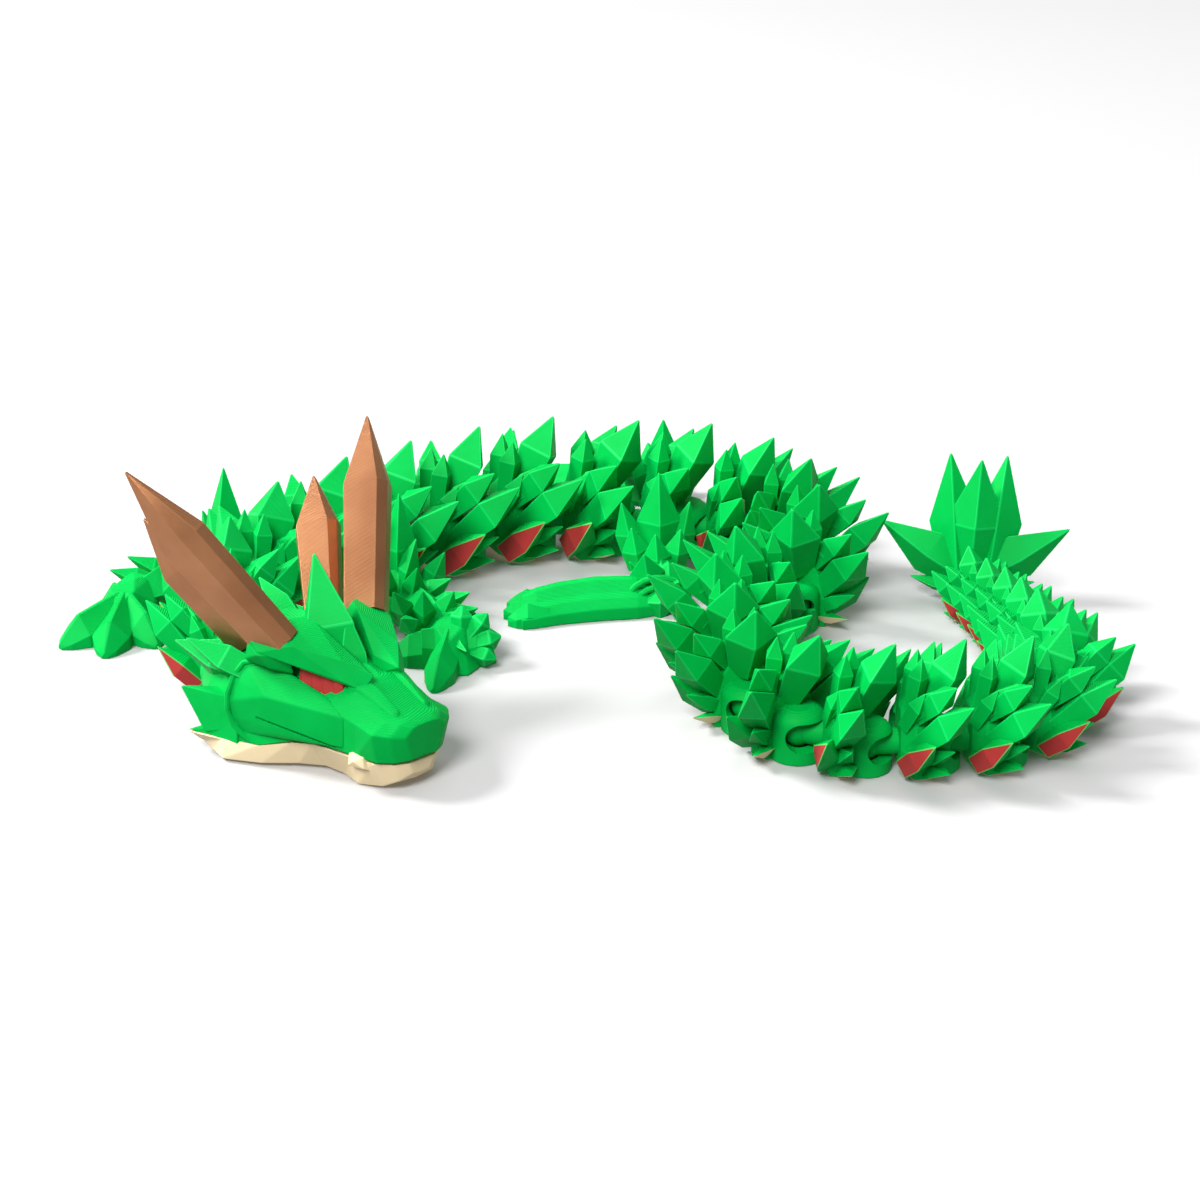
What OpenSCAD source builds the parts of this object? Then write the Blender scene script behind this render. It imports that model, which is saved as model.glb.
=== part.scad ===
// Articulated crystal dragon toy, posed in loose curves on a table.
// Every link of the spine carries a ball at its head end and a slotted
// socket at its tail end; each leg hangs on a smaller ball of the same kind.
// Millimetres, +Z up, origin on the flat belly of the second torso link.

/* [Joints] */
// Clearance between a ball and its socket
joint_gap = 0.4; // [0.3:0.05:0.5]
// Radius of a socket's inner sphere on a link of 22 mm pitch
cavity_r = 6.0; // [5.8:0.1:6.2]
// Radius of the round arm that carries a ball, on a link of 22 mm pitch
arm_r = 3.6; // [3.2:0.1:3.7]
// Half angle that each slot lets its arm swing
swing = 34; // [30:1:36]

/* [Crystals] */
// Height of a link's tallest crystal, as a share of its nominal height
crest_gain = 1.0; // [0.85:0.05:1.1]
// Half width of the big crystal on each link's back
crest_w = 7.0; // [5:0.1:7.4]

/* [Head] */
// Length of a long horn
horn_len = 64; // [50:1:68]
// Half width of a long horn
horn_w = 8.2; // [6:0.1:9]
// Length of a short horn
short_horn_len = 46; // [34:1:50]
// Sideways lean of the head on its neck ball
head_roll = 5; // [0:1:6]

/* [Legs] */
// Height of the tall crystal at each elbow
elbow_top = 42; // [30:1:46]

/* [Tail fin] */
// Height of the fin's upright crystals
fin_top = 50; // [36:1:54]

/* [Hidden] */
GREEN = [0.02, 0.70, 0.27];
HORN = [0.62, 0.42, 0.30];
RED = [0.72, 0.16, 0.15];
CREAM = [0.90, 0.80, 0.64];
// link by link from the head: pitch to the next ball, height of the back crystal, direction of the tail side, and width where it is special
CHAIN = [[0, 40, 140],
  [24, 37, 108, 0.82], [24, 42, 87, 0.94], [24.5, 46, 66, 1.08], [26.5, 48, 47],
  [26.3, 48, 41], [26.8, 48, 35], [27.3, 48, 26], [28.5, 48, 0], [26.4, 48, -5],
  [24.2, 47, -23], [22.2, 46.5, -50], [21.6, 45.5, -78], [21.5, 44.5, -107], [21.8, 44, -136],
  [21.5, 43, -116], [21.6, 42.5, -87], [21, 42, -79], [22.5, 41.5, -52], [21, 41, -23],
  [20.5, 40.5, 4], [20.6, 39.5, 10], [19, 37, 39], [20, 34.5, 69], [19, 31.5, 99],
  [16.9, 28.7, 99], [14.6, 26.7, 101], [13.3, 25, 107], [12.5, 24.6, 109], [12.5, 50, 82]];
SHOULDER = 4;
HIP = 9;
ROOT = 6;
BASE_PITCH = 22;
JZ = 8.6;
function dir(a) = [cos(a), sin(a)];
function P(i) = i <= 1 ? [0, 0] : P(i - 1) + CHAIN[i - 1][0] * dir(CHAIN[i - 1][2]);
function sx(i) = CHAIN[i][0] / BASE_PITCH;
function sz(i) = CHAIN[i][1] / 41.5;
function sy(i) = len(CHAIN[i]) > 3 ? CHAIN[i][3] : (sx(i) + sz(i)) / 2;
ORG = P(ROOT) + 17 * sx(ROOT) * dir(CHAIN[ROOT][2]);
function W(i) = P(i) - ORG;
// scale of the joint at a link's head end: that of the socket in front of it
function js(i) = i <= 1 ? 1.08 : min(sx(i - 1), 1.16);
function unit(v) = v / norm(v);

// closed solid through rings of points, each ring counter-clockwise seen from the last
module loft(rings) {
  n = len(rings[0]);
  m = len(rings);
  polyhedron([for (r = rings, p = r) p], concat(
    [[for (i = [0:n - 1]) i]], [[for (i = [n - 1:-1:0]) (m - 1) * n + i]],
    [for (k = [0:m - 2], i = [0:n - 1]) [k * n + i, (k + 1) * n + i, (k + 1) * n + (i + 1) % n]],
    [for (k = [0:m - 2], i = [0:n - 1]) [k * n + i, (k + 1) * n + (i + 1) % n, k * n + (i + 1) % n]]));
}

// crystal of n sides from root a to tip b: half width w along side, half depth t, widest at share m
module spike(a, b, w, t, m = 0.45, r = 0.7, side = [0, 1, 0], n = 4, turn = 0) {
  d = unit(b - a);
  u = unit(side - d * (side * d));
  v = cross(d, u);
  c = a + (b - a) * m;
  polyhedron(concat(
    [for (i = [0:n - 1]) a + r * (u * w * cos(turn + 360 / n * i) + v * t * sin(turn + 360 / n * i))],
    [for (i = [0:n - 1]) c + u * w * cos(turn + 360 / n * i) + v * t * sin(turn + 360 / n * i)], [b]),
    concat([[for (i = [0:n - 1]) i]],
      [for (i = [0:n - 1]) [i, n + i, n + (i + 1) % n, (i + 1) % n]],
      [for (i = [0:n - 1]) [n + i, 2 * n, n + (i + 1) % n]]));
}

function sc(p, i) = [p[0] * sx(i), p[1] * sy(i), p[2] * sz(i)];
function flip(p, s) = [p[0], p[1] * s, p[2]];

// crystals of one link, for 22 mm pitch and 42 mm height: root, tip, half width, half depth, widest at, root share
BACK = [[18.5, 0, 18], [30.3, 0, 42]];
FLANK = [[[13.5, 2.5, 20], [15.5, 3.3, 36.5], 2.2, 2.5, 0.5, 0.8],
  [[11.5, 4.5, 15], [16.2, 10, 28], 2.4, 2.2, 0.5, 0.8],
  [[13.5, 4.5, 18], [22.3, 11.8, 31], 3.2, 2.8, 0.48, 0.75],
  [[15.5, 5, 18.5], [24.3, 18, 34], 4, 3.6, 0.46, 0.75],
  [[16, 8, 10.5], [28.8, 25, 30.5], 5.6, 4.8, 0.46, 0.75],
  [[12, 8, 4.2], [17.4, 23.5, 17.8], 4.4, 4.2, 0.4, 0.9],
  [[17, 8, 6], [24.3, 20, 14], 3.2, 3, 0.42, 0.9],
  [[17.5, 7, 2.2], [23.8, 18, 5.4], 3.4, 1.8, 0.42, 0.9]];
function both(h) = concat(h, [for (i = [len(h) - 1:-1:0]) if (h[i][0] != 0) [-h[i][0], h[i][1]]]);
// half outlines of the body core, bottom to top, at three stations
CORE = [[9.9, [[5, 2], [6.2, 8], [5, 16], [2.5, 20]]],
  [14, [[10.5, 0], [11.3, 7], [8, 18], [3.2, 25.5]]],
  [20, [[9.6, 0], [10.2, 7], [7.2, 17], [2.6, 23.5]]]];

module core(i) {
  loft([for (c = CORE) [for (q = both(c[1])) sc([c[0], q[0], q[1]], i)]]);
}

// ball on its round arm, at the head end of a link; reach is where the arm ends in the body
module ball_arm(j, reach) {
  translate([0, 0, JZ * j]) {
    rotate([0, 0, 180]) sphere(r = cavity_r * j - joint_gap, $fn = 48);
    rotate([0, 90, 0]) cylinder(r = arm_r * j, h = reach, $fn = 32);
  }
}

// upright round housing around a socket
module housing(j) rotate([0, 0, 180]) {
  cylinder(r = 8.2 * j, h = 16 * j, $fn = 48);
  translate([0, 0, 16 * j]) cylinder(r1 = 8.2 * j, r2 = 6.4 * j, h = 1.6 * j, $fn = 48);
}

// hollow for a ball and the flat slot that its arm swings in
module socket_cut(j, r = 11.5, swing = swing) {
  w = arm_r * j + 0.4;
  translate([0, 0, JZ * j]) {
    rotate([0, 0, 180]) sphere(r = cavity_r * j, $fn = 48);
    translate([0, 0, -w]) linear_extrude(2 * w)
      polygon(concat([[-w * sin(swing), -w * cos(swing)], [r * j * cos(swing) - w * sin(swing), -r * j * sin(swing) - w * cos(swing)]],
        [for (a = [-swing:swing / 4:swing]) r * j * 1.06 * [cos(a), sin(a)]],
        [[r * j * cos(swing) - w * sin(swing), r * j * sin(swing) + w * cos(swing)], [-w * sin(swing), w * cos(swing)]]));
  }
}

module flank(i, rows, sides = [1, -1]) {
  for (k = rows, s = sides) spike(sc(flip(FLANK[k][0], s), i), sc(flip(FLANK[k][1], s), i),
    FLANK[k][2] * sy(i), FLANK[k][3] * sx(i), FLANK[k][4], FLANK[k][5]);
}

module at(i) { translate([W(i)[0], W(i)[1], 0]) rotate([0, 0, CHAIN[i][2]]) children(); }

module back_crystal(i) {
  t = sc(BACK[1], i);
  spike(sc(BACK[0], i), [t[0], t[1], t[2] * crest_gain], crest_w * sy(i), 5.4 * sx(i), 0.46, 0.6);
}

// one spine link
module link(i, rows = [0:7]) color(GREEN) at(i) {
  difference() {
    union() {
      core(i);
      translate([CHAIN[i][0], 0, 0]) housing(js(i + 1));
      back_crystal(i);
      flank(i, rows);
      ball_arm(js(i), 11 * sx(i) + 1);
      children();
    }
    translate([CHAIN[i][0], 0, 0]) socket_cut(js(i + 1));
  }
}

// leg sockets at both sides of a link; the arm leaves sideways
LEG_J = 0.74;
LEG_X = 16.5;
LEG_Y = 15;
LEG_SWING = 44;
module leg_sides(a) { for (s = [1, -1]) translate([LEG_X, s * LEG_Y, 0]) rotate([0, 0, s * a]) children(); }
module leg_link(i, a) color(GREEN) at(i) {
  difference() {
    union() {
      core(i);
      translate([CHAIN[i][0], 0, 0]) housing(js(i + 1));
      back_crystal(i);
      flank(i, [0, 1, 2, 3]);
      leg_sides(-90) cylinder(r = 8.2 * LEG_J, h = 16.5 * LEG_J, $fn = 48);
      ball_arm(js(i), 11 * sx(i) + 1);
    }
    translate([CHAIN[i][0], 0, 0]) socket_cut(js(i + 1));
    leg_sides(a) socket_cut(LEG_J, 11.5, LEG_SWING);
  }
}

// ---- head, in a frame whose x runs to the neck and which leans sideways by head_roll
HEAD_Z = 1;
module at_head() { translate([W(1)[0], W(1)[1], 0]) rotate([0, 0, CHAIN[0][2]]) children(); }
module lean() { translate([2.6, 0, HEAD_Z]) rotate([head_roll, 0, 0]) children(); }
SKULL = [[-84.4, [[0, 8], [5.2, 8], [8, 16.2], [5.2, 18.6], [2.5, 19], [0, 19]]],
  [-82, [[0, 6], [9.6, 6], [12.2, 16.8], [8, 19.7], [4.8, 20.2], [0, 20.2]]],
  [-78.2, [[0, 5.6], [13.2, 5.6], [15.7, 17.4], [10, 20.2], [6.2, 21.4], [0, 21.6]]],
  [-66, [[0, 5.6], [14.8, 5.6], [15.2, 19.4], [12, 24.2], [8.2, 27.2], [0, 28]]],
  [-59, [[0, 5.6], [16.2, 5.6], [16.2, 19.8], [11.5, 24.6], [8, 27.8], [0, 30.8]]],
  [-51, [[0, 5.6], [18.2, 5.6], [19.6, 19.2], [13.6, 23.8], [9, 29.8], [0, 35.8]]],
  [-43, [[0, 5.6], [20.4, 6], [23.4, 20.8], [15, 25.8], [9, 31.8], [0, 38.8]]],
  [-36, [[0, 4], [21.8, 6], [25, 17.8], [19, 28.8], [12, 33.8], [0, 39.8]]],
  [-28, [[0, 3], [22.8, 5], [25.4, 15.8], [21, 26.8], [13, 33.8], [0, 38.8]]],
  [-17, [[0, 2], [18, 4], [22.8, 14.8], [19, 24.8], [11, 30.8], [0, 33.8]]],
  [-6, [[0, 1.8], [11, 3.2], [14.8, 11.8], [13, 20.8], [8, 25.8], [0, 27.8]]],
  [-1.5, [[0, 2.2], [8, 3.4], [10.3, 11.3], [9, 18.3], [5, 22.8], [0, 23.8]]]];
function ring_of(c) = [for (q = concat(c[1], [for (i = [len(c[1]) - 2:-1:1]) [-c[1][i][0], c[1][i][1]]])) [c[0], q[0], q[1]]];
JAW = [[-83.2, [[0, 2.6], [3.4, 3], [5.4, 5], [0, 5]]],
  [-81, [[0, 0.8], [6.4, 1.4], [9.4, 5], [0, 5]]],
  [-76.6, [[0, -0.6], [8.6, 0], [12.4, 4.8], [0, 4.8]]],
  [-68, [[0, -0.8], [10.4, 0.2], [13.4, 4.8], [0, 4.8]]],
  [-55, [[0, -0.6], [10, 0.4], [14.6, 4.6], [0, 4.8]]],
  [-38, [[0, -0.6], [18, 1], [21, 4.2], [0, 4.6]]],
  [-24, [[0, -0.6], [22, 1.4], [24.4, 3.8], [0, 2.9]]],
  [-12.5, [[0, -0.4], [18, 1.2], [22.4, 3.2], [0, 1.4]]]];
function horn_root(s) = [-40.5, s * 18.7, 38.2];
function horn_dir(s) = unit([30, s * 29.3, 47.8]);
function short_root(s) = [-26, s * 15.5, 33];
function short_dir(s) = unit([23.5, s * 18, 33.3]);
module long_horn(s) spike(horn_root(s) - 3 * horn_dir(s), horn_root(s) + horn_len * horn_dir(s), horn_w, horn_w * 0.86, 0.62, 0.9, [0.8, 0, -0.6], 6);
module short_horn(s) spike(short_root(s) - 2 * short_dir(s), short_root(s) + short_horn_len * short_dir(s), 6.4, 5.4, 0.6, 0.85, [0.8, 0, -0.6], 6);
module eye(s) spike([-48, s * 9, 22], [-54, s * 16.8, 25.6], 6, 3.2, 0.5, 1, [1, 0, 0], 6);
module head() color(GREEN) at_head() {
  difference() {
    union() {
      difference() {
        lean() {
          loft([for (c = SKULL) ring_of(c)]);
          // crest and the smaller crystal in front of it
          spike([-46, 0, 27], [-37, 0, 59], 8.4, 9.2, 0.34, 0.95);
          spike([-56.5, 0, 25], [-51.4, 0, 44], 3.8, 4.5, 0.36, 1);
          for (s = [1, -1]) {
            // brow, from the bridge back over the eye to the horn
            spike([-36, s * 20, 34], [-69, s * 6, 28], 8, 4.6, 0.3, 0.85, [0, 1, 0.3 * s]);
            spike([-50, s * 10, 30], [-38, s * 20, 46], 6, 4.5, 0.5, 0.9, [1, 0, 0]);
            // cheek, jaw corner and rear crystals
            spike([-34, s * 17, 12], [-11, s * 29, 16.5], 5, 9, 0.45, 0.8, [0, 1, 0]);
            spike([-34, s * 15, 6.5], [-11, s * 25.5, 5.5], 5, 3, 0.5, 0.8, [0, 1, 0]);
            spike([-26, s * 12, 22], [-2, s * 23, 27], 5, 6, 0.45, 0.8, [0, 1, 0]);
            spike([-22, s * 7, 26], [2, s * 12, 38], 5, 5, 0.45, 0.8, [0, 1, 0]);
          }
          spike([-22, 0, 26], [6, 0, 42], 5.5, 5, 0.45, 0.8);
        }
        // seats of the horns, eyes and jaw plate
        lean() { for (s = [1, -1]) { long_horn(s); short_horn(s); eye(s); } jaw(); }
      }
      housing(js(1));
    }
    socket_cut(js(1));
  }
}
module jaw() { loft([for (c = JAW) ring_of(c)]); }
module jaw_plate() color(CREAM) at_head() lean() jaw();
module horn_long_right() color(HORN) at_head() lean() long_horn(1);
module horn_long_left() color(HORN) at_head() lean() long_horn(-1);
module horn_short_right() color(HORN) at_head() lean() short_horn(1);
module horn_short_left() color(HORN) at_head() lean() short_horn(-1);
module eye_right() color(RED) at_head() lean() eye(1);
module eye_left() color(RED) at_head() lean() eye(-1);

// ---- legs: x runs out from the body, y forward
FRONT_ANGLE = [167, 0];
HIND_ANGLE = [86, -87];
module leg_ball() {
  translate([0, 0, JZ * LEG_J]) {
    rotate([0, 0, 180]) sphere(r = cavity_r * LEG_J - joint_gap, $fn = 48);
    rotate([0, 90, 0]) cylinder(r = arm_r * LEG_J, h = 11, $fn = 32);
  }
}
FRONT = [[[8.5, 0, 8.5], [34, 1, 11], 7.4, 7.6, 0.5, 0.75],
  [[20, -4, 9], [21, -8, elbow_top], 6.8, 6, 0.4, 0.75],
  [[16, 5, 8], [18, 12, 24], 3.8, 3.6, 0.45, 0.8],
  [[25, 6, 8], [28, 13, 23], 4.2, 3.8, 0.45, 0.8],
  [[29, -3, 8], [36, -6, 21], 4.2, 3.8, 0.45, 0.8],
  [[21, 0, 9], [27, -1, 28], 4.6, 4, 0.42, 0.8],
  [[14, -5, 8], [13, -13, 22], 3.8, 3.4, 0.45, 0.8],
  [[28, 3, 8], [39, 8, 17], 4.2, 3.6, 0.42, 0.8],
  [[25, 2, 8.4], [44, 46, 11], 8, 7.2, 0.45, 0.85],
  [[33, 14, 9], [46, 22, 18], 4, 3.4, 0.45, 0.8],
  [[36, 22, 9], [49, 30, 16], 4, 3.4, 0.45, 0.8]];
// paw: wrist, and the directions of its three toes on the right and on the left leg
WRIST = [39.5, 38, 9.5];
TOES = [[[59, 26], [97, 26], [138, 22]], [[-18, 22], [96, 26], [160, 20]]];
HIND = [[[8.5, 0, 8.5], [34, -1, 10], 8, 8, 0.5, 0.75],
  [[15, -1, 8], [13, -1, 40], 7.4, 6.4, 0.44, 0.8],
  [[14, 7, 8], [13, 12, 29], 4.6, 4, 0.45, 0.8],
  [[14, -7, 8], [13, -12, 29], 4.6, 4, 0.45, 0.8],
  [[21, 6, 7], [22, 9, 23], 4.6, 4, 0.45, 0.8],
  [[21, -6, 7], [22, -8, 22], 4.6, 4, 0.45, 0.8],
  [[24, 0, 6], [26, 1, 22], 4.6, 4, 0.45, 0.8],
  [[26, -3, 7], [38, -3, 7], 9.5, 6.4, 0.5, 0.8],
  [[32, 2, 5], [38, 11, 17], 4.6, 4.2, 0.4, 0.85],
  [[36, -2, 5], [45, -6, 12], 5, 4.2, 0.4, 0.85]];
// flat foot: sections from the heel to the toes
FOOT = [[-6, 5, 34, 4], [0, 10, 37, 10], [12, 10, 38, 11], [28, 9.5, 40, 11], [42, 11, 43, 8.5], [50, 11, 45, 4]];

module limb(table) {
  leg_ball();
  for (q = table) spike(q[0], q[1], q[2], q[3], q[4], q[5], norm([q[1][0] - q[0][0], q[1][1] - q[0][1]]) > 0.8 * abs(q[1][2] - q[0][2]) ? [-(q[1][1] - q[0][1]), q[1][0] - q[0][0], 0] : [0, 1, 0]);
}
module at_leg(i, s, ang) { at(i) translate([LEG_X, s * LEG_Y, 0]) rotate([0, 0, ang - CHAIN[i][2]]) mirror([0, s < 0 ? 1 : 0, 0]) children(); }
module front_leg(s, ang) color(GREEN) at_leg(SHOULDER, s, ang) {
  limb(FRONT);
  for (t = TOES[s < 0 ? 1 : 0]) translate(WRIST) rotate([0, 0, t[0]]) toe(t[1]);
}
// blunt toe, bent down to the floor
module toe(r) loft([for (c = [[-7, 4.5, -6.5, 2.5], [3, 5.4, -8, 3.2], [r - 6, 5.2, -9.3, -1], [r, 2.6, -9.5, -6]])
  [for (q = both([[c[1], c[2]], [c[1], (c[2] + c[3]) / 2 - 0.8], [c[1] * 0.35, c[3]]])) [c[0], q[0], q[1]]]]);
module hind_leg(s, ang) color(GREEN) at_leg(HIP, s, ang) {
  limb(HIND);
  loft([for (c = FOOT) [for (q = both([[c[1], 0], [c[1], c[3] * 0.45], [c[1] * 0.45, c[3]]])) [c[2] - q[0], c[0], q[1]]]]);
}

// ---- tail fin
FIN = [[[14, 2, 8], [18, 0, 50], 9.2, 5, 0.48, 0.5, [0, 1, 0]],
  [[15, 4, 8], [26, 10, 50], 7.8, 6, 0.45, 0.65, [0, 1, 0]],
  [[15.5, 3, 9], [18, 32, 27.5], 7.6, 3.6, 0.44, 0.7, [0, 0, 1]],
  [[14, 3, 4], [18, 22, 7], 4.2, 2.6, 0.5, 0.8, [1, 0, 0]]];
module tail_fin() color(GREEN) at(29) {
  j = js(29);
  ball_arm(j, 8);
  loft([for (c = [[5.9, 3, 1.5, 8], [9, 5.5, 0, 12], [15, 7, 0, 18], [21, 4, 0, 12]])
    [for (q = both([[c[1], c[2]], [c[1] * 1.15, c[3] * 0.45], [c[1] * 0.5, c[3]]])) [c[0], q[0], q[1]]]]);
  for (q = FIN, s = (q[0][1] == 0 ? [1] : [1, -1]))
    spike(flip(q[0], s), flip([q[1][0], q[1][1], q[1][2] * fin_top / 50], s), q[2], q[3], q[4], q[5], q[6]);
}

module neck_1() link(1);
module neck_2() link(2);
module neck_3() link(3);
module shoulder() leg_link(SHOULDER, 83);
module torso_1() link(5);
module torso_2() link(6);
module torso_3() link(7);
module torso_4() link(8);
module hip() leg_link(HIP, 86);
module leg_front_right() front_leg(1, FRONT_ANGLE[0]);
module leg_front_left() front_leg(-1, FRONT_ANGLE[1]);
module leg_hind_right() hind_leg(1, HIND_ANGLE[0]);
module leg_hind_left() hind_leg(-1, HIND_ANGLE[1]);
module tail_01() link(10);
module tail_02() link(11);
module tail_03() link(12);
module tail_04() link(13);
module tail_05() link(14);
module tail_06() link(15);
module tail_07() link(16);
module tail_08() link(17);
module tail_09() link(18);
module tail_10() link(19);
module tail_11() link(20);
module tail_12() link(21);
module tail_13() link(22);
module tail_14() link(23);
module tail_15() link(24);
module tail_16() link(25);
module tail_17() link(26);
module tail_18() link(27);
module tail_19() link(28);

head();
jaw_plate();
horn_long_right();
horn_long_left();
horn_short_right();
horn_short_left();
eye_right();
eye_left();
neck_1();
neck_2();
neck_3();
shoulder();
torso_1();
torso_2();
torso_3();
torso_4();
hip();
leg_front_right();
leg_front_left();
leg_hind_right();
leg_hind_left();
tail_01();
tail_02();
tail_03();
tail_04();
tail_05();
tail_06();
tail_07();
tail_08();
tail_09();
tail_10();
tail_11();
tail_12();
tail_13();
tail_14();
tail_15();
tail_16();
tail_17();
tail_18();
tail_19();
tail_fin();
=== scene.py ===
import math
import random

import bmesh
import bpy
from mathutils import Matrix, Vector


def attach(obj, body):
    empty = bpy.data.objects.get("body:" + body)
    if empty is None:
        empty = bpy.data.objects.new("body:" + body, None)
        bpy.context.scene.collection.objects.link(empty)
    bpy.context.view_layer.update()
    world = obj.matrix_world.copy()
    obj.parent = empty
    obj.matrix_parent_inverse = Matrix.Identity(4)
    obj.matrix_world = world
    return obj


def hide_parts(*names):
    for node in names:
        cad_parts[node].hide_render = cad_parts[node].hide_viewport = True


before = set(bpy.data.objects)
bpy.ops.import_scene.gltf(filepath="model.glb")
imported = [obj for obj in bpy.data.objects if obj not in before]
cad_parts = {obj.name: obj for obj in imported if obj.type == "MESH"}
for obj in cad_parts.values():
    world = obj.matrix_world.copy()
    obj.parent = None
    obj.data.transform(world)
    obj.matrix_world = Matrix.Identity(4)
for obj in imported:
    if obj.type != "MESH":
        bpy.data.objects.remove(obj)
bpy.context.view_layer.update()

MM = 0.001

# ------------------------------------------------------------------ layout
# link by link from the head: pitch, height of the back crystal, direction of the tail side, width where it is special
CHAIN = [(0, 40, 140), (24, 37, 108, 0.82), (24, 42, 87, 0.94), (24.5, 46, 66, 1.08), (26.5, 48, 47),
         (26.3, 48, 41), (26.8, 48, 35), (27.3, 48, 26), (28.5, 48, 0), (26.4, 48, -5),
         (24.2, 47, -23), (22.2, 46.5, -50), (21.6, 45.5, -78), (21.5, 44.5, -107), (21.8, 44, -136),
         (21.5, 43, -116), (21.6, 42.5, -87), (21, 42, -79), (22.5, 41.5, -52), (21, 41, -23),
         (20.5, 40.5, 4), (20.6, 39.5, 10), (19, 37, 39), (20, 34.5, 69), (19, 31.5, 99),
         (16.9, 28.7, 99), (14.6, 26.7, 101), (13.3, 25, 107), (12.5, 24.6, 109), (12.5, 50, 82)]
NAMES = (["head", "neck_1", "neck_2", "neck_3", "shoulder", "torso_1", "torso_2", "torso_3", "torso_4", "hip"]
         + ["tail_%02d" % i for i in range(1, 20)] + ["tail_fin"])
SHOULDER, HIP, ROOT = 4, 9, 6
JZ = 8.6
CAVITY, GAP, ARM, SWING, LOOK_ARM = 6.0, 0.4, 3.6, 34, 4.1
LEG_J, LEG_X, LEG_Y, LEG_SWING = 0.74, 16.5, 15, 44


def d2(a):
    return Vector((math.cos(math.radians(a)), math.sin(math.radians(a)), 0))


def sx(i):
    return CHAIN[i][0] / 22


def sz(i):
    return CHAIN[i][1] / 41.5


def sy(i):
    return CHAIN[i][3] if len(CHAIN[i]) > 3 else (sx(i) + sz(i)) / 2


def js(i):
    return 1.08 if i <= 1 else min(sx(i - 1), 1.16)


P = [Vector((0, 0, 0)), Vector((0, 0, 0))]
for i in range(1, len(CHAIN) - 1):
    P.append(P[-1] + CHAIN[i][0] * d2(CHAIN[i][2]))
ORG = P[ROOT] + 17 * sx(ROOT) * d2(CHAIN[ROOT][2])
W = [p - ORG for p in P]


def at(i):
    return Matrix.Translation(W[i]) @ Matrix.Rotation(math.radians(CHAIN[i][2]), 4, "Z")


# ------------------------------------------------------------------ materials
def nodes_of(mat):
    mat.use_nodes = True
    nt = mat.node_tree
    nt.nodes.clear()
    return nt, nt.nodes, nt.links


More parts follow.
